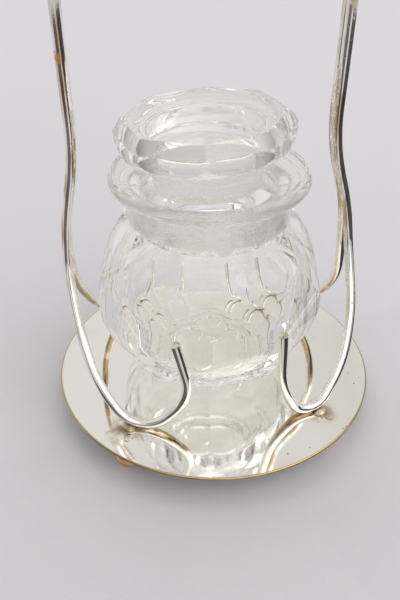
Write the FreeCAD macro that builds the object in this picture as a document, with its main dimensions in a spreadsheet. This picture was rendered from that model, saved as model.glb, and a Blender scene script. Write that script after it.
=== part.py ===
"""Glass preserve jar with a ground stopper, held by four wire hooks in a plated stand.

Frame: millimetres, +Z up, origin on the table under the tray's centre, +X and -X through
the two upright arms of the handle, -Y towards the front pair of hooks.
"""
import FreeCAD, Part
import math
import os
import Sketcher

Vector = FreeCAD.Vector

# Driving dimensions: alias, value in millimetres (degrees for the turns), what it is.
DIMENSIONS = [
    ("tray_radius", 70.0, "tray, outer radius"),
    ("tray_sheet", 1.2, "tray, sheet thickness"),
    ("tray_rise", 4.2, "tray, rise of the dome from edge to centre"),
    ("tray_edge_height", 13.0, "upper face of the tray's edge above the table"),
    ("foot_circle", 61.2, "radius of the circle that the four feet stand on"),
    ("foot_turn", 43.0, "a foot's angle from the front, either way"),
    ("foot_ball", 6.4, "ball foot, radius"),
    ("foot_flat", 0.2, "height worn flat under the ball"),
    ("foot_collar", 3.4, "collar on top of the ball, radius"),
    ("foot_top_height", 12.32, "top of the collar, against the tray's underside"),
    ("foot_bore_depth", 5.0, "blind hole for the peg, depth"),
    ("peg_radius", 1.5, "peg, shank radius"),
    ("peg_head_radius", 1.8, "peg, head radius"),
    ("peg_head_height", 0.32, "peg, head height"),
    ("peg_band_height", 0.12, "peg, height of the head's straight side"),
    ("peg_seat_height", 14.2, "underside of the peg's head"),
    ("peg_end_gap", 0.3, "gap between the peg's end and the bottom of its hole"),
    ("peg_play", 0.05, "radial play of the peg in the tray and the foot"),
    ("wire_radius", 1.95, "frame wire, radius"),
    ("wire_split", 2.1, "distance of each wire from the handle's middle plane"),
    ("tip_reach", 49.6, "hook tip, distance from the axis"),
    ("tip_turn", 24.0, "hook tip, angle from the front or the back"),
    ("tip_height", 60.0, "hook tip, height"),
    ("stem_reach", 49.0, "foot of the hook's stem, distance"),
    ("stem_turn_front_left", 18.5, "foot of the hook's stem, angle"),
    ("stem_turn_front_right", 25.0, "foot of the hook's stem, angle"),
    ("stem_turn_rear_left", 25.0, "foot of the hook's stem, angle"),
    ("stem_turn_rear_right", 27.0, "foot of the hook's stem, angle"),
    ("stem_height", 34.0, "foot of the hook's stem, height"),
    ("heel_reach", 51.5, "inner end of the run along the tray, distance"),
    ("heel_turn", 34.0, "inner end of the run along the tray, angle"),
    ("heel_height", 17.0, "inner end of the run along the tray, height"),
    ("toe_reach", 56.2, "outer end of the run along the tray, distance"),
    ("toe_turn_front_left", 48.0, "outer end of the run along the tray, angle"),
    ("toe_turn_front_right", 44.5, "outer end of the run along the tray, angle"),
    ("toe_turn_rear_left", 48.0, "outer end of the run along the tray, angle"),
    ("toe_turn_rear_right", 48.5, "outer end of the run along the tray, angle"),
    ("toe_height", 16.55, "outer end of the run along the tray, height"),
    ("low_reach", 59.2, "lower bend of the swept branch, distance"),
    ("low_turn_front_left", 60.0, "lower bend of the swept branch, angle"),
    ("low_turn_front_right", 59.0, "lower bend of the swept branch, angle"),
    ("low_turn_rear_left", 61.0, "lower bend of the swept branch, angle"),
    ("low_turn_rear_right", 69.0, "lower bend of the swept branch, angle"),
    ("low_height", 30.0, "lower bend of the swept branch, height"),
    ("high_reach", 59.4, "upper bend of the swept branch, distance"),
    ("high_turn_front_left", 74.0, "upper bend of the swept branch, angle"),
    ("high_turn_front_right", 73.0, "upper bend of the swept branch, angle"),
    ("high_turn_rear_left", 75.0, "upper bend of the swept branch, angle"),
    ("high_turn_rear_right", 82.0, "upper bend of the swept branch, angle"),
    ("high_height", 48.0, "upper bend of the swept branch, height"),
    ("fork_reach", 58.0, "paired wires where they part, distance from the middle"),
    ("fork_height", 70.0, "height where the paired wires part"),
    ("fork_depth", 4.6, "distance of a wire from the middle plane at that height"),
    ("flare_reach", 56.0, "arm's widest point, distance from the middle"),
    ("flare_height", 90.0, "arm's widest point, height"),
    ("arm_reach", 49.0, "upright arm, distance from the middle"),
    ("arm_foot_height", 116.0, "lower end of the upright arm"),
    ("arch_height", 172.0, "upper end of the upright arm, where the arch begins"),
    ("tip_shift", -1.7, "hook tips, how far the frame leans along X"),
    ("run_shift", -0.6, "stems, runs and branches, how far the frame leans along X"),
    ("fork_shift", -1.9, "fork, how far the frame leans along X"),
    ("flare_shift", -2.5, "arms' widest points, how far the frame leans along X"),
    ("arm_shift", -3.9, "upright arms, how far the frame leans along X"),
    ("seam_width", 2.6, "solder strip between the paired wires, width"),
    ("seam_depth", 2.2, "solder strip between the paired wires, depth"),
    ("solder_reach", 56.9, "middle of the solder under a wire, distance"),
    ("solder_back", 1.5, "solder's angle short of the outer end of the wire's run"),
    ("solder_length", 3.4, "solder under a wire, half length along the wire"),
    ("solder_width", 2.35, "solder under a wire, half width"),
    ("solder_height", 1.3, "solder under a wire, height above the tray"),
    ("jar_seat_height", 17.1, "underside of the jar above the table"),
    ("jar_shift", -2.5, "how far the jar stands off the middle along X"),
    ("jar_turn", -7.0, "how far the jar is turned in its stand"),
    ("jar_facets", 10, "number of panels round the jar"),
    ("jar_blank", 48.0, "jar before cutting, radius"),
    ("jar_shoulder_top", 73.0, "top of the jar's shoulder"),
    ("jar_neck", 32.3, "neck, outer radius"),
    ("jar_widest", 45.1, "flat-to-centre distance of the lower panels at their widest"),
    ("jar_widest_height", 37.3, "height of the widest place"),
    ("jar_base_apothem", 21.0, "flat-to-centre distance of the base"),
    ("jar_bowl_arc", 40.9, "lower panels, curve below the widest place"),
    ("jar_flank_arc", 67.1, "lower panels, curve above the widest place"),
    ("jar_flank_top", 36.6, "upper end of the lower panels' curve, flat-to-centre distance"),
    ("jar_flank_height", 70.0, "upper end of the lower panels' curve, height"),
    ("jar_shoulder_arc", 161.0, "upper panels, curve of the shoulder"),
    ("jar_shoulder_in", 32.2, "upper panels at the neck, flat-to-centre distance"),
    ("jar_shoulder_out", 48.6, "upper panels at their points, flat-to-centre distance"),
    ("jar_shoulder_low", 38.5, "height of the upper panels' points"),
    ("lip_cove", 2.8, "hollow under the lip, radius"),
    ("lip_under", 36.9, "lip's lower edge, radius"),
    ("lip_top", 37.4, "lip's upper edge, radius"),
    ("lip_round", 3.2, "lip's rounded rim, radius of the curve"),
    ("lip_base_height", 85.5, "lip's lower edge, height"),
    ("jar_height", 91.2, "jar's overall height"),
    ("dish_top", 36.4, "dished mouth, radius at the top"),
    ("dish_foot", 27.6, "dished mouth, radius at the foot"),
    ("dish_foot_height", 85.2, "dished mouth, height of the foot"),
    ("bore_top", 26.75, "ground bore, radius at the top"),
    ("bore_top_height", 84.4, "ground bore, height of its top"),
    ("bore_foot", 25.45, "ground bore, radius at the foot"),
    ("bore_foot_height", 66.5, "ground bore, height of its foot"),
    ("cavity_radius", 40.4, "inside of the jar, radius"),
    ("cavity_high", 40.5, "top of the straight wall inside"),
    ("cavity_low", 31.5, "foot of the straight wall inside"),
    ("cavity_shoulder_arc", 30.0, "inside of the shoulder, curve"),
    ("cavity_bowl_arc", 21.0, "inside of the bowl, curve"),
    ("cavity_floor_edge", 20.0, "floor inside, radius"),
    ("cavity_floor", 10.2, "floor inside, height at its edge"),
    ("cavity_floor_middle", 9.8, "floor inside, height in the middle"),
    ("punt_radius", 16.5, "hollow under the base, radius"),
    ("punt_depth", 2.2, "hollow under the base, depth"),
    ("punt_wall_top", 15.0, "hollow under the base, radius above its sloping wall"),
    ("punt_wall_height", 1.3, "hollow under the base, height of its sloping wall"),
    ("stopper_facets", 8, "number of sides of the stopper"),
    ("stopper_turn", -8.0, "how far the stopper is turned in its stand"),
    ("stopper_tilt", -3.4, "how far the stopper leans in the bore, about Y"),
    ("stopper_pivot", 75.8, "height in the jar that the leaning plug turns about"),
    ("stopper_blank", 33.8, "stopper before cutting, radius"),
    ("stopper_flat", 31.7, "stopper's sides, flat-to-centre distance"),
    ("stopper_belly_in", 26.4, "stopper's turned belly, inner end"),
    ("stopper_belly_arc", 8.0, "stopper's turned belly, curve"),
    ("stopper_belly_high", 104.4, "stopper's turned belly, height of its outer end"),
    ("stopper_side_high", 107.4, "top of the stopper's sides"),
    ("stopper_table", 28.4, "stopper's flat top, flat-to-centre distance"),
    ("stopper_under", 98.6, "underside of the stopper's head"),
    ("stopper_top", 112.2, "stopper's top"),
    ("stem_radius", 21.4, "stopper's stem, radius"),
    ("stem_cove", 3.0, "hollow between stem and head, radius"),
    ("stem_foot_height", 86.2, "foot of the stem"),
    ("plug_play", 0.6, "radial play of the ground plug in the bore"),
    ("plug_top_height", 84.0, "top of the ground plug"),
    ("plug_foot_height", 67.6, "foot of the ground plug"),
    ("plug_bevel", 1.2, "bevel at the foot of the plug"),
    ("plug_hollow", 15.0, "hollow under the plug, radius"),
    ("plug_hollow_depth", 3.0, "hollow under the plug, depth"),
    ("plug_hollow_top", 12.0, "hollow under the plug, radius of its flat top"),
]

# How far a cutting outline or tool runs past the face that it cuts, and past a glass blank.
OVERRUN = 1.0
PANEL_CLEARANCE = 8.0
# Side of the box that trims a solder bead, and the tray's solder stays well inside it.
TOOL_SIDE = 20.0
# Share of a wire's shorter straight run that each bend takes up.
BEND_SHARE = 0.48
# Edges of a quarter's route that belong to the arm: the flare's run, a bend and the upright.
ARM_EDGES = 3

doc = FreeCAD.newDocument("preserve_jar_stand")
sheet = doc.addObject("Spreadsheet::Sheet", "Dims")


def fill_sheet():
    """Write each dimension beside its name, and give its cell that name."""
    for row, (alias, value, words) in enumerate(DIMENSIONS, start=1):
        sheet.set(f"A{row}", words)
        sheet.set(f"B{row}", str(value))
        sheet.setAlias(f"B{row}", alias)
    doc.recompute()


VALUES = {alias: value for alias, value, words in DIMENSIONS}


class Size:
    """A length that knows its value and the sheet expression that gives it."""

    def __init__(self, text, value):
        self.text = text
        self.value = value

    def combine(self, sign, other, value):
        other_text = other.text if isinstance(other, Size) else str(other)
        return Size(f"({self.text} {sign} {other_text})", value)

    def __add__(self, other):
        return self.combine("+", other, self.value + number(other))

    def __sub__(self, other):
        return self.combine("-", other, self.value - number(other))

    def __mul__(self, other):
        return self.combine("*", other, self.value * number(other))

    def __truediv__(self, other):
        return self.combine("/", other, self.value / number(other))


def number(size):
    return size.value if isinstance(size, Size) else float(size)


def cell(alias):
    """The named cell as a Size."""
    return Size(f"Dims.{alias}", VALUES[alias])


# Sketches -------------------------------------------------------------------------------

def origin_feature(body, role):
    for feature in body.Origin.OriginFeatures:
        if feature.Role == role:
            return feature
    raise ValueError(f"no {role} in {body.Label}")


def new_body(name):
    body = doc.addObject("PartDesign::Body", name)
    body.Label = name
    return body


def new_sketch(body, name, plane="XZ_Plane", turn_axis=None, turn=0.0):
    """A sketch on one of the body's origin planes, turned about turn_axis if given."""
    sketch = body.newObject("Sketcher::SketchObject", name)
    sketch.AttachmentSupport = (origin_feature(body, plane), [""])
    sketch.MapMode = "FlatFace"
    if turn_axis is not None:
        sketch.AttachmentOffset = FreeCAD.Placement(Vector(0, 0, 0), FreeCAD.Rotation(turn_axis, turn))
    return sketch


def pin_point(sketch, edge, corner, along, up):
    """Hold one end of a sketch edge at its distances from the sketch's origin."""
    for kind, size, axis in (("DistanceX", along, -2), ("DistanceY", up, -1)):
        if number(size) == 0.0:
            sketch.addConstraint(Sketcher.Constraint("PointOnObject", edge, corner, axis))
            continue
        index = sketch.addConstraint(Sketcher.Constraint(kind, -1, 1, edge, corner, number(size)))
        if isinstance(size, Size):
            sketch.setExpression(f"Constraints[{index}]", size.text)


def arc_between(start, end, radius, bulge):
    """The short arc from start to end, passing on the left (+1) or right (-1) of the chord."""
    chord = end - start
    half = chord.Length / 2
    sagitta = radius - math.sqrt(radius * radius - half * half)
    aside = Vector(-chord.y, chord.x, 0).normalize() * (sagitta * bulge)
    return Part.Arc(start, (start + end) / 2 + aside, end)


def draw_outline(sketch, corners):
    """Draw a closed outline through (along, up) corners.

    A corner with a third and fourth entry starts an arc of that radius, which bulges to the
    left (+1) or right (-1) of the way to the next corner.
    """
    places = [Vector(number(corner[0]), number(corner[1]), 0) for corner in corners]
    count = len(corners)
    for index, corner in enumerate(corners):
        start = places[index]
        end = places[(index + 1) % count]
        if len(corner) == 2:
            sketch.addGeometry(Part.LineSegment(start, end), False)
        else:
            sketch.addGeometry(arc_between(start, end, number(corner[2]), corner[3]), False)
    first = [start_corner(sketch, index, places[index]) for index in range(count)]
    for index, corner in enumerate(corners):
        following = (index + 1) % count
        sketch.addConstraint(
            Sketcher.Constraint("Coincident", index, 3 - first[index], following, first[following]))
        pin_point(sketch, index, first[index], corner[0], corner[1])
        if len(corner) == 4:
            radius = sketch.addConstraint(Sketcher.Constraint("Radius", index, number(corner[2])))
            sketch.setExpression(f"Constraints[{radius}]", corner[2].text)


def start_corner(sketch, index, place):
    """Which end of a drawn edge, 1 or 2, lies at place: an arc always runs anticlockwise."""
    return 1 if (sketch.getPoint(index, 1) - place).Length < 1e-6 else 2


# PartDesign features ----------------------------------------------------------------------

def revolve(body, name, corners):
    """A solid of revolution about the body's Z axis from an outline in its XZ plane."""
    sketch = new_sketch(body, name + "_outline")
    draw_outline(sketch, corners)
    feature = body.newObject("PartDesign::Revolution", name)
    feature.Profile = sketch
    feature.ReferenceAxis = (sketch, ["V_Axis"])
    feature.Angle = 360.0
    doc.recompute()
    return feature


def groove(body, name, corners):
    """Turn away an outline about the body's Z axis."""
    sketch = new_sketch(body, name + "_outline")
    draw_outline(sketch, corners)
    feature = body.newObject("PartDesign::Groove", name)
    feature.Profile = sketch
    feature.ReferenceAxis = (sketch, ["V_Axis"])
    feature.Angle = 360.0
    doc.recompute()
    return feature


def cut_panels(body, name, corners, facets, turn, width):
    """Cut the same panel all round a body: what lies outside the outline is taken away."""
    sketch = new_sketch(body, name + "_outline", turn_axis=Vector(0, 1, 0), turn=turn)
    draw_outline(sketch, corners)
    pocket = body.newObject("PartDesign::Pocket", name + "_first")
    pocket.Profile = sketch
    pocket.Midplane = True
    pocket.setExpression("Length", width.text)
    doc.recompute()
    pattern = body.newObject("PartDesign::PolarPattern", name)
    pattern.Originals = [pocket]
    pattern.Axis = (origin_feature(body, "Z_Axis"), [""])
    pattern.Angle = 360.0
    pattern.setExpression("Occurrences", facets.text)
    body.Tip = pattern
    doc.recompute()
    return pattern


# The stand --------------------------------------------------------------------------------

# The four feet, hooks and solder joints: name, side along X, side along Y.
QUARTERS = [
    ("front_left", -1, -1),
    ("front_right", 1, -1),
    ("rear_left", -1, 1),
    ("rear_right", 1, 1),
]


def tray_top(radius):
    """Height of the tray's upper face at a distance from its centre."""
    run = VALUES["tray_radius"] - VALUES["tray_sheet"] / 2
    rise = VALUES["tray_rise"]
    dome = (run * run + rise * rise) / (2 * rise)
    return VALUES["tray_edge_height"] + rise - dome + math.sqrt(dome * dome - radius * radius)


def foot_place(side_x, side_y):
    turn = math.radians(VALUES["foot_turn"])
    reach = VALUES["foot_circle"]
    return Vector(side_x * reach * math.sin(turn), side_y * reach * math.cos(turn), 0)


def make_base_plate():
    """A thin domed disc with a rounded edge and four peg holes."""
    body = new_body("base_plate")
    sheet_size = cell("tray_sheet")
    rise = cell("tray_rise")
    edge = cell("tray_edge_height")
    run = cell("tray_radius") - sheet_size / 2
    dome = (run * run + rise * rise) / (rise * 2)
    revolve(body, "tray_disc", [
        (Size("0", 0.0), edge + rise, dome, 1),
        (run, edge, sheet_size / 2, 1),
        (run, edge - sheet_size, dome, -1),
        (Size("0", 0.0), edge + rise - sheet_size),
    ])
    sketch = new_sketch(body, "peg_holes_outline", "XY_Plane")
    hole = cell("peg_radius") + cell("peg_play")
    for index, (name, side_x, side_y) in enumerate(QUARTERS):
        place = foot_place(side_x, side_y)
        sketch.addGeometry(Part.Circle(place, Vector(0, 0, 1), hole.value), False)
        radius = sketch.addConstraint(Sketcher.Constraint("Radius", index, hole.value))
        sketch.setExpression(f"Constraints[{radius}]", hole.text)
    pocket = body.newObject("PartDesign::Pocket", "peg_holes")
    pocket.Profile = sketch
    pocket.Midplane = True
    pocket.setExpression("Length", (edge * 4).text)
    doc.recompute()
    return body


def make_foot(name, side_x, side_y):
    """A ball foot, worn flat below, with a short collar and a blind peg hole above."""
    body = new_body(f"ball_foot_{name}")
    ball = cell("foot_ball")
    flat = cell("foot_flat")
    centre = ball - flat
    collar = cell("foot_collar")
    top = cell("foot_top_height")
    ball_solid = body.newObject("PartDesign::AdditiveSphere", f"ball_{name}")
    ball_solid.setExpression("Radius", ball.text)
    ball_solid.setExpression("Placement.Base.z", centre.text)
    doc.recompute()
    collar_solid = body.newObject("PartDesign::AdditiveCylinder", f"collar_{name}")
    collar_solid.setExpression("Radius", collar.text)
    collar_solid.setExpression("Height", (top - centre).text)
    collar_solid.setExpression("Placement.Base.z", centre.text)
    doc.recompute()
    flat_cut = body.newObject("PartDesign::SubtractiveCylinder", f"flat_{name}")
    flat_cut.setExpression("Radius", ball.text)
    flat_cut.setExpression("Height", ball.text)
    flat_cut.setExpression("Placement.Base.z", (Size("0", 0.0) - ball).text)
    doc.recompute()
    bore = body.newObject("PartDesign::SubtractiveCylinder", f"bore_{name}")
    bore.setExpression("Radius", (cell("peg_radius") + cell("peg_play")).text)
    bore.setExpression("Height", (cell("foot_bore_depth") + OVERRUN).text)
    bore.setExpression("Placement.Base.z", (top - cell("foot_bore_depth")).text)
    doc.recompute()
    body.Placement = FreeCAD.Placement(foot_place(side_x, side_y), FreeCAD.Rotation())
    return body


def make_peg(name, side_x, side_y):
    """A peg that runs from the foot up through the tray, with a domed head on top."""
    body = new_body(f"foot_peg_{name}")
    shank = cell("peg_radius")
    head = cell("peg_head_radius")
    height = cell("peg_head_height")
    band = cell("peg_band_height")
    rise = height - band
    dome = (head * head + rise * rise) / (rise * 2)
    seat = cell("peg_seat_height")
    low = cell("foot_top_height") - cell("foot_bore_depth") + cell("peg_end_gap")
    revolve(body, f"peg_{name}", [
        (Size("0", 0.0), low),
        (shank, low),
        (shank, seat),
        (head, seat),
        (head, seat + band, dome, -1),
        (Size("0", 0.0), seat + height),
    ])
    body.Placement = FreeCAD.Placement(foot_place(side_x, side_y), FreeCAD.Rotation())
    return body


def polar(reach, turn, height):
    """A point at a distance from the axis, turned from the front towards +X."""
    angle = math.radians(turn)
    return Vector(reach * math.sin(angle), -reach * math.cos(angle), height)


def wire_stations(name, side_x, side_y):
    """The bends of one quarter of a frame wire, from the hook's tip to the arch."""
    size = VALUES
    stem = polar(size["stem_reach"], size[f"stem_turn_{name}"], size["stem_height"])
    toe = polar(size["toe_reach"], size[f"toe_turn_{name}"], size["toe_height"])
    low = polar(size["low_reach"], size[f"low_turn_{name}"], size["low_height"])
    high = polar(size["high_reach"], size[f"high_turn_{name}"], size["high_height"])
    split = -size["wire_split"]
    bends = [
        (polar(size["tip_reach"], size["tip_turn"], size["tip_height"]), size["tip_shift"]),
        (stem, size["run_shift"]),
        (polar(size["heel_reach"], size["heel_turn"], size["heel_height"]), size["run_shift"]),
        (toe, size["run_shift"]),
        (low, size["run_shift"]),
        (high, size["run_shift"]),
        (Vector(size["fork_reach"], -size["fork_depth"], size["fork_height"]), size["fork_shift"]),
        (Vector(size["flare_reach"], split, size["flare_height"]), size["flare_shift"]),
        (Vector(size["arm_reach"], split, size["arm_foot_height"]), size["arm_shift"]),
        (Vector(size["arm_reach"], split, size["arch_height"]), size["arm_shift"]),
    ]
    return [Vector(side_x * place.x + shift, -side_y * place.y, place.z) for place, shift in bends]


def rounded_route(stations):
    """Straight runs joined by tangent arcs; each arc takes up the same share of its shorter run."""
    edges = []
    start = stations[0]
    for before, bend, after in zip(stations, stations[1:], stations[2:]):
        back = before - bend
        onward = after - bend
        run = BEND_SHARE * min(back.Length, onward.Length)
        back.normalize()
        onward.normalize()
        half_turn = (math.pi - back.getAngle(onward)) / 2
        radius = run / math.tan(half_turn)
        inward = (back + onward).normalize()
        centre = bend + inward * (radius / math.cos(half_turn))
        arc_start = bend + back * run
        arc_end = bend + onward * run
        edges.append(Part.LineSegment(start, arc_start).toShape())
        edges.append(Part.Arc(arc_start, centre - inward * radius, arc_end).toShape())
        start = arc_end
        print(f"  bend radius {radius:.1f} mm")
    edges.append(Part.LineSegment(start, stations[-1]).toShape())
    return edges


def arch_edge(depth):
    """The half circle over the top, from one arm to the other."""
    reach = VALUES["arm_reach"]
    spring = VALUES["arch_height"]
    middle = VALUES["arm_shift"]
    return Part.Arc(Vector(middle + reach, depth, spring), Vector(middle, depth, spring + reach),
                    Vector(middle - reach, depth, spring)).toShape()


def joined(edges):
    return Part.Wire(Part.__sortEdges__(edges))


def path_object(name, wire):
    path = doc.addObject("Part::Feature", name)
    path.Shape = wire
    return path


def swept(name, path, section):
    """A closed section carried along every edge of a path."""
    sweep = doc.addObject("Part::Sweep", name)
    sweep.Label = name
    sweep.Sections = [section]
    sweep.Spine = (path, [f"Edge{index + 1}" for index in range(len(path.Shape.Edges))])
    sweep.Solid = True
    sweep.Frenet = False
    doc.recompute()
    return sweep


def make_frame_wire(name, side_y, left, right):
    """One long wire: hook, foot, arm, arch, arm, foot and hook again."""
    arch = arch_edge(side_y * VALUES["wire_split"])
    path = path_object(f"{name}_path", joined(left + [arch] + right))
    first = path.Shape.OrderedVertexes[0].Point
    second = path.Shape.OrderedVertexes[1].Point
    section = doc.addObject("Part::Circle", f"{name}_section")
    section.setExpression("Radius", "Dims.wire_radius")
    section.Placement = FreeCAD.Placement(first, FreeCAD.Rotation(Vector(0, 0, 1), second - first))
    wire = swept(name, path, section)
    expected = path.Shape.Length * math.pi * VALUES["wire_radius"] ** 2
    print(f"{name}: length {path.Shape.Length:.1f} mm, volume over section times length "
          f"{wire.Shape.Volume / expected:.4f}")
    return wire


def make_handle_seam(left, right, front_wire, rear_wire):
    """The solder that fills the groove between the paired wires, arm to arm over the arch."""
    to_middle = Vector(0, VALUES["wire_split"], 0)
    arms = [edge.translated(to_middle) for edge in left[-ARM_EDGES:] + right[-ARM_EDGES:]]
    path = path_object("seam_path", joined(arms + [arch_edge(0)]))
    first = path.Shape.OrderedVertexes[0].Point
    second = path.Shape.OrderedVertexes[1].Point
    along = (second - first).normalize()
    across = Vector(0, 1, 0)
    section = doc.addObject("Part::Plane", "seam_section")
    section.setExpression("Length", "Dims.seam_width")
    section.setExpression("Width", "Dims.seam_depth")
    sideways = along.cross(across)
    rotation = FreeCAD.Rotation(across, sideways, along, "ZXY")
    corner = first - across * (VALUES["seam_width"] / 2)
    corner = corner + rotation.multVec(Vector(0, -VALUES["seam_depth"] / 2, 0))
    section.Placement = FreeCAD.Placement(corner, rotation)
    strip = swept("seam_strip", path, section)
    half_cut = cut_away("seam_front_cut", strip, front_wire)
    return cut_away("handle_solder_seam", half_cut, rear_wire)


def cut_away(name, base, tool):
    cut = doc.addObject("Part::Cut", name)
    cut.Label = name
    cut.Base = base
    cut.Tool = tool
    doc.recompute()
    return cut


def make_solder_joint(name, side_x, side_y, plate, wire):
    """A low bead of solder that ties a wire to the tray."""
    size = VALUES
    turn = size[f"toe_turn_{name}"] - size["solder_back"]
    spot = polar(size["solder_reach"], turn, tray_top(size["solder_reach"]))
    place = Vector(side_x * spot.x, -side_y * spot.y, spot.z)
    bead = doc.addObject("Part::Ellipsoid", f"bead_{name}")
    bead.setExpression("Radius1", "Dims.solder_height")
    bead.setExpression("Radius2", "Dims.solder_length")
    bead.setExpression("Radius3", "Dims.solder_width")
    heading = math.degrees(math.atan2(place.y, place.x)) + 90
    bead.Placement = FreeCAD.Placement(place, FreeCAD.Rotation(Vector(0, 0, 1), heading))
    on_tray = cut_away(f"bead_on_tray_{name}", bead, plate)
    on_wire = cut_away(f"bead_on_wire_{name}", on_tray, wire)
    above = doc.addObject("Part::Box", f"above_tray_{name}")
    above.Length = TOOL_SIDE
    above.Width = TOOL_SIDE
    above.Height = TOOL_SIDE
    corner = place - Vector(TOOL_SIDE / 2, TOOL_SIDE / 2, size["tray_sheet"] / 2)
    above.Placement = FreeCAD.Placement(corner, FreeCAD.Rotation())
    joint = doc.addObject("Part::Common", f"solder_joint_{name}")
    joint.Label = f"solder_joint_{name}"
    joint.Base = on_wire
    joint.Tool = above
    doc.recompute()
    return joint


# The glass --------------------------------------------------------------------------------

def make_jar():
    """A panelled bowl with a dished lip and a ground bore, hollow inside."""
    body = new_body("jar_body")
    zero = Size("0", 0.0)
    height = cell("jar_height")
    blank = cell("jar_blank")
    neck = cell("jar_neck")
    cove = cell("lip_cove")
    lip_low = cell("lip_base_height")
    revolve(body, "jar_blank_turned", [
        (zero, zero),
        (blank, zero),
        (blank, cell("jar_shoulder_top")),
        (neck, cell("jar_shoulder_top")),
        (neck, lip_low - cove, cove, 1),
        (neck + cove, lip_low),
        (cell("lip_under"), lip_low, cell("lip_round"), -1),
        (cell("lip_top"), height),
        (zero, height),
    ])
    facets = cell("jar_facets")
    outside = blank + PANEL_CLEARANCE
    cut_panels(body, "shoulder_panels", [
        (outside, cell("jar_shoulder_low")),
        (outside, cell("jar_shoulder_top")),
        (cell("jar_shoulder_in"), cell("jar_shoulder_top"), cell("jar_shoulder_arc"), 1),
        (cell("jar_shoulder_out"), cell("jar_shoulder_low")),
    ], facets, 90.0, blank * 2)
    cut_panels(body, "bowl_panels", [
        (outside, zero - OVERRUN),
        (outside, cell("jar_flank_height")),
        (cell("jar_flank_top"), cell("jar_flank_height"), cell("jar_flank_arc"), 1),
        (cell("jar_widest"), cell("jar_widest_height"), cell("jar_bowl_arc"), 1),
        (cell("jar_base_apothem"), zero),
        (cell("jar_base_apothem"), zero - OVERRUN),
    ], facets, 90.0 + 180.0 / VALUES["jar_facets"], blank * 2)
    groove(body, "jar_cavity", [
        (zero, cell("cavity_floor_middle")),
        (cell("cavity_floor_edge"), cell("cavity_floor"), cell("cavity_bowl_arc"), -1),
        (cell("cavity_radius"), cell("cavity_low")),
        (cell("cavity_radius"), cell("cavity_high"), cell("cavity_shoulder_arc"), -1),
        (cell("bore_foot"), cell("bore_foot_height")),
        (cell("bore_top"), cell("bore_top_height")),
        (cell("dish_foot"), cell("dish_foot_height")),
        (cell("dish_top"), height),
        (cell("dish_top"), height + OVERRUN),
        (zero, height + OVERRUN),
    ])
    groove(body, "jar_punt", [
        (zero, zero - OVERRUN),
        (cell("punt_radius"), zero - OVERRUN),
        (cell("punt_radius"), zero),
        (cell("punt_wall_top"), cell("punt_wall_height")),
        (zero, cell("punt_depth")),
    ])
    set_glass(body, "jar_turn")
    return body


def make_stopper():
    """A flat-topped head with eight sides cut above a turned belly, on a tapered ground plug."""
    body = new_body("stopper")
    zero = Size("0", 0.0)
    under = cell("stopper_under")
    top = cell("stopper_top")
    blank = cell("stopper_blank")
    stem = cell("stem_radius")
    cove = cell("stem_cove")
    play = cell("plug_play")
    taper = (cell("bore_top") - cell("bore_foot")) / (cell("bore_top_height") - cell("bore_foot_height"))
    plug_top = cell("plug_top_height")
    plug_foot = cell("plug_foot_height")
    bevel = cell("plug_bevel")
    foot_radius = cell("bore_foot") - play + taper * (plug_foot + bevel - cell("bore_foot_height"))
    top_radius = cell("bore_foot") - play + taper * (plug_top - cell("bore_foot_height"))
    hollow = cell("plug_hollow")
    revolve(body, "stopper_blank_turned", [
        (zero, plug_foot + cell("plug_hollow_depth")),
        (cell("plug_hollow_top"), plug_foot + cell("plug_hollow_depth")),
        (hollow, plug_foot),
        (foot_radius - bevel, plug_foot),
        (foot_radius, plug_foot + bevel),
        (top_radius, plug_top),
        (stem, cell("stem_foot_height")),
        (stem, under - cove, cove, 1),
        (stem + cove, under),
        (cell("stopper_belly_in"), under, cell("stopper_belly_arc"), -1),
        (blank, cell("stopper_belly_high")),
        (blank, top),
        (zero, top),
    ])
    side = cell("stopper_flat")
    outside = blank + PANEL_CLEARANCE
    bevel_slope = (side - cell("stopper_table")) / (top - cell("stopper_side_high"))
    cut_panels(body, "stopper_sides", [
        (outside, under - OVERRUN),
        (outside, top + OVERRUN),
        (cell("stopper_table") - bevel_slope * OVERRUN, top + OVERRUN),
        (side, cell("stopper_side_high")),
        (side, under - OVERRUN),
    ], cell("stopper_facets"), 90.0 + 180.0 / VALUES["stopper_facets"], blank * 2)
    set_glass(body, "stopper_turn", VALUES["stopper_tilt"], VALUES["stopper_pivot"])
    return body


def set_glass(body, turn, tilt=0.0, pivot=0.0):
    """Stand a glass piece on the jar's seat, turned about the axis and leaning about a height."""
    place = Vector(VALUES["jar_shift"], 0, VALUES["jar_seat_height"])
    turned = FreeCAD.Placement(place, FreeCAD.Rotation(Vector(0, 0, 1), VALUES[turn]))
    hinge = place + Vector(0, 0, pivot)
    lean = FreeCAD.Placement(Vector(0, 0, 0), FreeCAD.Rotation(Vector(0, 1, 0), tilt), hinge)
    body.Placement = lean.multiply(turned)


# Build, check and write ---------------------------------------------------------------------

def build_all():
    plate = make_base_plate()
    pieces = [plate]
    for name, side_x, side_y in QUARTERS:
        pieces.append(make_foot(name, side_x, side_y))
        pieces.append(make_peg(name, side_x, side_y))
    routes = {name: rounded_route(wire_stations(name, side_x, side_y)) for name, side_x, side_y in QUARTERS}
    front = make_frame_wire("front_wire", -1, routes["front_left"], routes["front_right"])
    rear = make_frame_wire("rear_wire", 1, routes["rear_left"], routes["rear_right"])
    wires = {-1: front, 1: rear}
    pieces += [front, rear, make_handle_seam(routes["front_left"], routes["front_right"], front, rear)]
    for name, side_x, side_y in QUARTERS:
        pieces.append(make_solder_joint(name, side_x, side_y, plate, wires[side_y]))
    pieces += [make_jar(), make_stopper()]
    return pieces


def check_document():
    for item in doc.Objects:
        if "Invalid" in item.State or "Error" in item.State:
            raise RuntimeError(f"{item.Name} failed: {item.State}")


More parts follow.
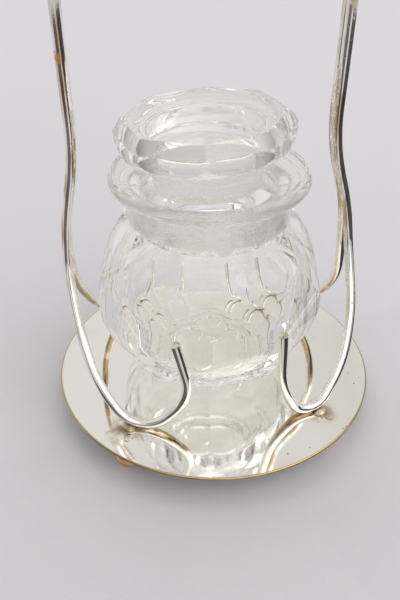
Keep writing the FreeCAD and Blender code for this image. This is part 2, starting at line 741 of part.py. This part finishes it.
def write_pieces(pieces):
    os.makedirs("parts", exist_ok=True)
    for piece in pieces:
        shape = piece.Shape
        if shape.isNull() or not shape.isValid() or not shape.Solids:
            raise RuntimeError(f"{piece.Label} has no valid solid")
        print(f"{piece.Label}: {len(shape.Solids)} solid, {shape.Volume / 1000:.2f} cm3")
        shape.exportStep(f"parts/{piece.Label}.step")


fill_sheet()
all_pieces = build_all()
doc.recompute()
check_document()
write_pieces(all_pieces)
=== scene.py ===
"""Looks for the glass preserve jar in its plated wire stand."""
import math
import bpy
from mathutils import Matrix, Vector


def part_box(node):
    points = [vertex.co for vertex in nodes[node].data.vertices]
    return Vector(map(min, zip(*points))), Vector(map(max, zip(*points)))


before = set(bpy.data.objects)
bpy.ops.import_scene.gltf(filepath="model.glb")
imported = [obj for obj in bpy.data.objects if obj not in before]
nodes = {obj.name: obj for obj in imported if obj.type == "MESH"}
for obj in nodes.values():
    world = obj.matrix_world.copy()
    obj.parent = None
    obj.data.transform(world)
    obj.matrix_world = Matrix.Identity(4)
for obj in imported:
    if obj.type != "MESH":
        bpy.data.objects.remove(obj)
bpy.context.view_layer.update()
scene = bpy.context.scene
scene.view_settings.view_transform = "Standard"
scene.cycles.max_bounces = 24
scene.cycles.transmission_bounces = 24
scene.cycles.glossy_bounces = 16

# Camera ----------------------------------------------------------------------------------

CAMERA_PLACE = Vector((-0.0382, -0.22295, 0.206))
CAMERA_HEADING = math.radians(8.17)
CAMERA_DIP = math.radians(35.26)
camera_data = bpy.data.cameras.new("camera")
camera_data.sensor_width = 36.0
camera_data.lens = 38.04
camera_data.clip_start = 0.005
camera_data.clip_end = 20.0
camera = bpy.data.objects.new("camera", camera_data)
camera.location = CAMERA_PLACE
camera.rotation_euler = (math.pi / 2 - CAMERA_DIP, 0.0, -CAMERA_HEADING)
scene.collection.objects.link(camera)
scene.camera = camera

# Light -----------------------------------------------------------------------------------

# A colour Mix node's sockets: its two colours, and its result.
MIX_FIRST, MIX_SECOND, MIX_RESULT = 6, 7, 2


def soft_light(name, place, target, width, height, power, color, mirrored=True):
    """A large lamp; one that isn't mirrored shows in no metal or glass."""
    data = bpy.data.lights.new(name, "AREA")
    data.shape = "RECTANGLE"
    data.size = width
    data.size_y = height
    data.energy = power
    data.color = color
    light = bpy.data.objects.new(name, data)
    light.location = place
    aim = Vector(target) - Vector(place)
    light.rotation_euler = aim.to_track_quat("-Z", "Y").to_euler()
    light.visible_glossy = mirrored
    light.visible_transmission = mirrored
    scene.collection.objects.link(light)


LAMP_WATTS = 10.0
soft_light("window_right", (1.35, -0.55, 1.45), (0, 0, 0.05), 1.7, 1.7, LAMP_WATTS, (1.0, 0.99, 0.99))
soft_light("ceiling", (0.0, 1.1, 1.6), (0.0, 1.1, 0), 1.6, 1.6, LAMP_WATTS, (1.0, 1.0, 1.0),
           mirrored=False)


class Room:
    """The light of the room round the object, by direction."""

    def __init__(self):
        world = bpy.data.worlds.new("room")
        scene.world = world
        world.use_nodes = True
        self.tree = world.node_tree
        self.background = next(n for n in self.tree.nodes if n.type == "BACKGROUND")
        self.way = self.tree.nodes.new("ShaderNodeTexCoord").outputs["Generated"]
        split = self.tree.nodes.new("ShaderNodeSeparateXYZ")
        self.tree.links.new(self.way, split.inputs[0])
        self.height = split.outputs["Z"]

    def spread(self, value, start, end, low, high):
        node = self.tree.nodes.new("ShaderNodeMapRange")
        node.interpolation_type = "SMOOTHSTEP"
        self.tree.links.new(value, node.inputs["Value"])
        for name, number in (("From Min", start), ("From Max", end), ("To Min", low), ("To Max", high)):
            node.inputs[name].default_value = number
        return node.outputs["Result"]

    def patch(self, way, inner, outer, level):
        """A factor that is level within inner degrees of a direction and 1 beyond outer degrees."""
        node = self.tree.nodes.new("ShaderNodeVectorMath")
        node.operation = "DOT_PRODUCT"
        self.tree.links.new(self.way, node.inputs[0])
        node.inputs[1].default_value = Vector(way).normalized()
        far, near = math.cos(math.radians(outer)), math.cos(math.radians(inner))
        return self.spread(node.outputs["Value"], far, near, 1.0, level)

    def times(self, first, second):
        node = self.tree.nodes.new("ShaderNodeMath")
        node.operation = "MULTIPLY"
        self.tree.links.new(first, node.inputs[0])
        self.tree.links.new(second, node.inputs[1])
        return node.outputs[0]

    def light(self):
        """Dimmer overhead, warmer upwards, and changed at each of the PLACES."""
        strength = self.spread(self.height, 0.80, 0.97, 0.78, 0.66)
        for way, inner, outer, level in PLACES:
            strength = self.times(strength, self.patch(way, inner, outer, level))
        self.tree.links.new(strength, self.background.inputs["Strength"])
        ramp = self.tree.nodes.new("ShaderNodeMix")
        ramp.data_type = "RGBA"
        self.tree.links.new(self.spread(self.height, 0.2, 0.9, 0.0, 1.0), ramp.inputs[0])
        ramp.inputs[MIX_FIRST].default_value = (1.0, 0.99, 0.985, 1)
        ramp.inputs[MIX_SECOND].default_value = (1.0, 0.98, 0.95, 1)
        self.tree.links.new(ramp.outputs[MIX_RESULT], self.background.inputs["Color"])


# Darker and brighter things in the room: direction, inner and outer reach in degrees, and the light there.
PLACES = [
    ((-1.0, -0.35, 0.22), 20, 28, 0.45),
    ((-0.25, -1.0, 0.22), 9, 16, 0.30),
    ((1.0, -0.75, 0.12), 8, 14, 0.30),
    ((0.75, 1.0, 0.55), 5, 45, 0.93),
    ((0.1, -0.8, 0.7), 22, 45, 1.8),
]
Room().light()


def dark_card(name, corners, shade):
    """A dark card that only mirrors see, for the dark lines down polished metal."""
    mesh = bpy.data.meshes.new(name)
    mesh.from_pydata(corners, [], [tuple(range(len(corners)))])
    card = bpy.data.objects.new(name, mesh)
    scene.collection.objects.link(card)
    material = bpy.data.materials.new(name)
    material.use_nodes = True
    shader = next(n for n in material.node_tree.nodes if n.type == "BSDF_PRINCIPLED")
    shader.inputs["Base Color"].default_value = (shade, shade * 0.93, shade * 0.95, 1)
    shader.inputs["Roughness"].default_value = 1.0
    mesh.materials.append(material)
    card.visible_camera = False
    card.visible_diffuse = False
    card.visible_transmission = False
    card.visible_shadow = False


CARD_FAR = 0.9
CARD_HEIGHT = 0.001
CARD_STEPS = 8


def fan(near, start, end):
    """Corners of a flat ring sector, from start to end degrees round from -Y towards +X."""
    turns = [math.radians(start + (end - start) * step / CARD_STEPS) for step in range(CARD_STEPS + 1)]
    inner = [(near * math.sin(a), -near * math.cos(a), CARD_HEIGHT) for a in turns]
    outer = [(CARD_FAR * math.sin(a), -CARD_FAR * math.cos(a), CARD_HEIGHT) for a in reversed(turns)]
    return inner + outer


dark_card("card_floor_right", fan(0.085, 17, 112), 0.03)
dark_card("card_floor_left", fan(0.079, -68, -14), 0.10)

# Materials -------------------------------------------------------------------------------

QUARTERS = ("front_left", "front_right", "rear_left", "rear_right")


class Shader:
    """A material under construction: a Principled shader and the nodes that feed it."""

    def __init__(self, name, **plain):
        self.material = bpy.data.materials.new(name)
        self.material.use_nodes = True
        self.tree = self.material.node_tree
        self.bsdf = next(n for n in self.tree.nodes if n.type == "BSDF_PRINCIPLED")
        for socket, value in plain.items():
            self.bsdf.inputs[socket.replace("_", " ")].default_value = value
        self.place = self.node("TexCoord").outputs["Object"]

    def node(self, kind, **settings):
        node = self.tree.nodes.new("ShaderNode" + kind)
        for key, value in settings.items():
            setattr(node, key, value)
        return node

    def feed(self, socket, value):
        if hasattr(value, "is_output"):
            self.tree.links.new(value, socket)
        else:
            socket.default_value = value

    def set(self, name, value):
        self.feed(self.bsdf.inputs[name], value)

    def noise(self, scale, detail=3.0, rough=0.5, place=None):
        node = self.node("TexNoise")
        self.feed(node.inputs["Vector"], place or self.place)
        node.inputs["Scale"].default_value = scale
        node.inputs["Detail"].default_value = detail
        node.inputs["Roughness"].default_value = rough
        return node.outputs["Fac"]

    def spots(self, scale, size):
        """1 inside small scattered round spots, 0 elsewhere."""
        node = self.node("TexVoronoi")
        self.feed(node.inputs["Vector"], self.place)
        node.inputs["Scale"].default_value = scale
        return self.band(node.outputs["Distance"], size, size * 0.6)

    def stretched(self, x, y, z):
        node = self.node("Mapping")
        self.feed(node.inputs["Vector"], self.place)
        node.inputs["Scale"].default_value = (x, y, z)
        return node.outputs["Vector"]

    def band(self, value, low, high):
        """0 at low rising smoothly to 1 at high (or falling, if low is the larger)."""
        node = self.node("MapRange", interpolation_type="SMOOTHSTEP")
        self.feed(node.inputs["Value"], value)
        if low < high:
            node.inputs["From Min"].default_value = low
            node.inputs["From Max"].default_value = high
        else:
            node.inputs["From Min"].default_value = high
            node.inputs["From Max"].default_value = low
            node.inputs["To Min"].default_value = 1.0
            node.inputs["To Max"].default_value = 0.0
        return node.outputs["Result"]

    def ramp(self, value, low, high):
        """value, which runs from 0 to 1, spread from low to high."""
        node = self.node("MapRange")
        self.feed(node.inputs["Value"], value)
        node.inputs["To Min"].default_value = low
        node.inputs["To Max"].default_value = high
        return node.outputs["Result"]

    def math(self, operation, first, second=0.0):
        node = self.node("Math", operation=operation)
        self.feed(node.inputs[0], first)
        self.feed(node.inputs[1], second)
        return node.outputs[0]

    def mix(self, share, first, second):
        node = self.node("Mix", data_type="RGBA")
        self.feed(node.inputs[0], share)
        self.feed(node.inputs[MIX_FIRST], first)
        self.feed(node.inputs[MIX_SECOND], second)
        return node.outputs[MIX_RESULT]

    def axis(self, vector, letter):
        node = self.node("SeparateXYZ")
        self.feed(node.inputs[0], vector)
        return node.outputs[letter]

    def radius(self, middle=0.0):
        """Distance from an upright axis through x = middle."""
        across = self.math("SUBTRACT", self.axis(self.place, "X"), middle)
        along = self.axis(self.place, "Y")
        squares = [self.math("MULTIPLY", side, side) for side in (across, along)]
        return self.math("SQRT", self.math("ADD", squares[0], squares[1]))

    def near(self, point, inner, outer):
        """1 within inner of a point, 0 beyond outer."""
        node = self.node("VectorMath", operation="DISTANCE")
        self.feed(node.inputs[0], self.place)
        node.inputs[1].default_value = point
        return self.band(node.outputs["Value"], outer, inner)

    def bump(self, height, distance, strength=1.0):
        node = self.node("Bump")
        node.inputs["Strength"].default_value = strength
        node.inputs["Distance"].default_value = distance
        self.feed(node.inputs["Height"], height)
        self.set("Normal", node.outputs["Normal"])


SILVER = (0.93, 0.905, 0.85, 1)
DULL_SILVER = (0.80, 0.765, 0.68, 1)
TRAY_SILVER = (0.92, 0.90, 0.86, 1)
TRAY_DULL = (0.87, 0.84, 0.77, 1)
BRASS = (0.70, 0.53, 0.30, 1)
RIM_BRASS = (0.50, 0.38, 0.17, 1)
WORN = (0.50, 0.36, 0.20, 1)
DARK = (0.16, 0.12, 0.09, 1)
COPPER = (0.80, 0.42, 0.20, 1)
FOOT_PLATE = (0.86, 0.70, 0.5, 1)
DARK_BRASS = (0.42, 0.30, 0.16, 1)
SOLDER = (0.66, 0.60, 0.48, 1)
DARK_SOLDER = (0.40, 0.27, 0.14, 1)
STAIN = (0.42, 0.29, 0.17, 1)
OLD_SOLDER = (0.72, 0.42, 0.14, 1)
# Where a lump of old solder was left on the outside of the left arm.
REMNANT = (-0.0549, -0.0035, 0.151)


def wire_silver():
    """Plate with brass showing underneath, in streaks up the arms and round the cut tips."""
    s = Shader("worn_silver_wire", Metallic=1.0)
    color = s.mix(s.band(s.noise(90.0, 4.0), 0.45, 0.75), SILVER, DULL_SILVER)
    up = s.axis(s.node("NewGeometry").outputs["Normal"], "Z")
    under = s.math("MULTIPLY", s.band(up, -0.1, -0.55), s.band(s.noise(140.0, 3.0), 0.25, 0.5))
    height = s.axis(s.place, "Z")
    streaks = s.band(s.noise(330.0, 4.0, place=s.stretched(1.0, 1.0, 0.12)), 0.47, 0.62)
    streaks = s.math("MULTIPLY", streaks, s.band(height, 0.062, 0.082))
    color = s.mix(s.math("MAXIMUM", under, s.math("MULTIPLY", streaks, 0.85)), color, WORN)
    ends = s.math("MULTIPLY", s.band(height, 0.0592, 0.0599), s.band(height, 0.0622, 0.0616))
    tips = s.math("MULTIPLY", ends, s.band(s.radius(), 0.0545, 0.053))
    color = s.mix(s.math("MULTIPLY", tips, 0.35), color, RIM_BRASS)
    remnant = s.math("MULTIPLY", s.near(REMNANT, 0.0021, 0.0028), s.band(s.noise(700.0), 0.35, 0.5))
    color = s.mix(remnant, color, OLD_SOLDER)
    pits = s.math("MULTIPLY", s.spots(420.0, 0.16), s.band(s.noise(60.0), 0.52, 0.62))
    s.set("Base Color", s.mix(pits, color, DARK))
    polish = s.ramp(s.noise(300.0, 4.0), 0.03, 0.12)
    s.set("Roughness", s.math("ADD", polish, s.math("MULTIPLY", remnant, 0.4)))
    s.bump(s.math("SUBTRACT", s.noise(260.0, 2.0), pits), 0.00005, 0.4)
    return s.material


def tray_silver():
    """Plate on the dome, brass at its edge, and brown stains round the solder."""
    s = Shader("silver_tray", Metallic=1.0)
    color = s.mix(s.band(s.noise(26.0, 5.0), 0.45, 0.8), TRAY_SILVER, TRAY_DULL)
    color = s.mix(s.band(s.radius(), 0.0691, 0.0696), color, RIM_BRASS)
    stain = None
    for quarter in QUARTERS:
        low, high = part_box("solder_joint_" + quarter)
        spot = s.near(tuple((a + b) / 2 for a, b in zip(low, high)), 0.0025, 0.0085)
        stain = spot if stain is None else s.math("MAXIMUM", stain, spot)
    stain = s.math("MULTIPLY", stain, s.band(s.noise(190.0, 5.0, 0.65), 0.36, 0.55))
    color = s.mix(s.math("MULTIPLY", stain, 0.9), color, STAIN)
    pits = s.math("MULTIPLY", s.spots(170.0, 0.07), s.band(s.noise(22.0), 0.5, 0.6))
    s.set("Base Color", s.mix(pits, color, DARK))
    polish = s.ramp(s.noise(180.0, 5.0), 0.02, 0.09)
    s.set("Roughness", s.math("ADD", polish, s.math("MULTIPLY", stain, 0.3)))
    s.bump(s.noise(36.0, 2.0), 0.0002, 0.22)
    return s.material


def foot_metal():
    """Plate worn through to a coppery metal."""
    s = Shader("worn_foot", Metallic=1.0)
    worn = s.band(s.noise(300.0, 4.0), 0.35, 0.6)
    s.set("Base Color", s.mix(worn, FOOT_PLATE, COPPER))
    s.set("Roughness", s.ramp(s.noise(500.0, 4.0), 0.12, 0.34))
    s.bump(s.noise(700.0, 3.0), 0.00008, 0.4)
    return s.material


def seam_metal():
    """Tarnished brass, between the paired wires of the handle."""
    s = Shader("tarnished_brass", Metallic=1.0)
    s.set("Base Color", s.mix(s.band(s.noise(700.0, 3.0), 0.4, 0.6), BRASS, DARK_BRASS))
    s.set("Roughness", s.ramp(s.noise(900.0, 3.0), 0.18, 0.42))
    s.bump(s.noise(900.0, 3.0), 0.0001, 0.5)
    return s.material


def solder_metal():
    """Dull solder with brown patches."""
    s = Shader("dull_solder", Metallic=1.0)
    s.set("Base Color", s.mix(s.band(s.noise(500.0, 4.0), 0.4, 0.65), SOLDER, DARK_SOLDER))
    s.set("Roughness", s.ramp(s.noise(800.0, 4.0), 0.25, 0.55))
    s.bump(s.noise(800.0, 4.0), 0.0003, 0.7)
    return s.material


# The jar and its stopper stand this far off the tray's middle along X.
JAR_MIDDLE = -0.0025
# Heights between which the glass turns from clear to ground, at the foot of the bore and of the plug.
GROUND_FOOT = (0.0862, 0.0872)


def clear_glass(name, ground):
    """Clear glass, ground to a frost where the ground mask is 1."""
    s = Shader(name, Base_Color=(0.988, 0.985, 0.968, 1), IOR=1.52, Transmission_Weight=1.0)
    mask = ground(s)
    grain = s.noise(2600.0, 3.0)
    s.set("Roughness", s.math("MULTIPLY", mask, s.ramp(grain, 0.19, 0.32)))
    s.bump(s.noise(28.0, 1.0), 0.0001, 0.2)
    return s.material


def ground_bore(s):
    """1 on the wall of the neck's bore."""
    z = s.axis(s.place, "Z")
    inside = s.band(s.radius(JAR_MIDDLE), 0.0285, 0.028)
    return s.math("MULTIPLY", inside, s.math("MULTIPLY", s.band(z, *GROUND_FOOT), s.band(z, 0.1022, 0.1014)))


def ground_plug(s):
    """1 on the stopper's plug."""
    z = s.axis(s.place, "Z")
    outside = s.band(s.radius(JAR_MIDDLE), 0.0225, 0.0235)
    return s.math("MULTIPLY", outside, s.math("MULTIPLY", s.band(z, *GROUND_FOOT), s.band(z, 0.1018, 0.1008)))


def paper():
    """Pale matt paper with a fine tooth."""
    s = Shader("pale_paper")
    cloud = s.noise(2.5, 2.0)
    s.set("Base Color", s.mix(cloud, (0.565, 0.554, 0.583, 1), (0.587, 0.576, 0.606, 1)))
    s.set("Roughness", s.ramp(s.noise(900.0, 3.0), 0.7, 0.9))
    s.bump(s.noise(1400.0, 3.0, 0.6), 0.0004, 0.35)
    return s.material


def dress(node, material):
    mesh = nodes[node].data
    mesh.materials.clear()
    mesh.materials.append(material)


wire = wire_silver()
tray = tray_silver()
foot = foot_metal()
solder = solder_metal()
for name in nodes:
    if name.startswith("ball_foot"):
        dress(name, foot)
    elif name.startswith("foot_peg"):
        dress(name, tray)
    elif name.startswith("solder_joint"):
        dress(name, solder)
dress("front_wire", wire)
dress("rear_wire", wire)
dress("handle_solder_seam", seam_metal())
dress("base_plate", tray)
dress("jar_body", clear_glass("cut_glass", ground_bore))
dress("stopper", clear_glass("stopper_glass", ground_plug))

# Floor and wall --------------------------------------------------------------------------

FLOOR_REACH = 5.0
WALL_REACH = 4.9
WALL_HEIGHT = 6.0
WALL_SIDES = 48
WALL_COLOR = (0.62, 0.61, 0.635, 1)

floor_mesh = bpy.data.meshes.new("floor")
corners = [(-FLOOR_REACH, -FLOOR_REACH, 0), (FLOOR_REACH, -FLOOR_REACH, 0),
           (FLOOR_REACH, FLOOR_REACH, 0), (-FLOOR_REACH, FLOOR_REACH, 0)]
floor_mesh.from_pydata(corners, [], [(0, 1, 2, 3)])
floor_mesh.materials.append(paper())
floor = bpy.data.objects.new("floor", floor_mesh)
scene.collection.objects.link(floor)


def wall():
    """A pale wall beyond the floor, seen by the camera alone, for views from low down."""
    turns = [math.tau * step / WALL_SIDES for step in range(WALL_SIDES)]
    low = [(WALL_REACH * math.sin(a), WALL_REACH * math.cos(a), 0.0) for a in turns]
    high = [(x, y, WALL_HEIGHT) for x, y, _ in low]
    pairs = [(side, (side + 1) % WALL_SIDES) for side in range(WALL_SIDES)]
    mesh = bpy.data.meshes.new("wall")
    mesh.from_pydata(low + high, [], [(a, b, WALL_SIDES + b, WALL_SIDES + a) for a, b in pairs])
    s = Shader("pale_wall", Base_Color=(0.0, 0.0, 0.0, 1), Emission_Color=WALL_COLOR, Emission_Strength=1.0)
    mesh.materials.append(s.material)
    panel = bpy.data.objects.new("wall", mesh)
    scene.collection.objects.link(panel)
    panel.visible_diffuse = False
    panel.visible_glossy = False
    panel.visible_transmission = False
    panel.visible_shadow = False


wall()
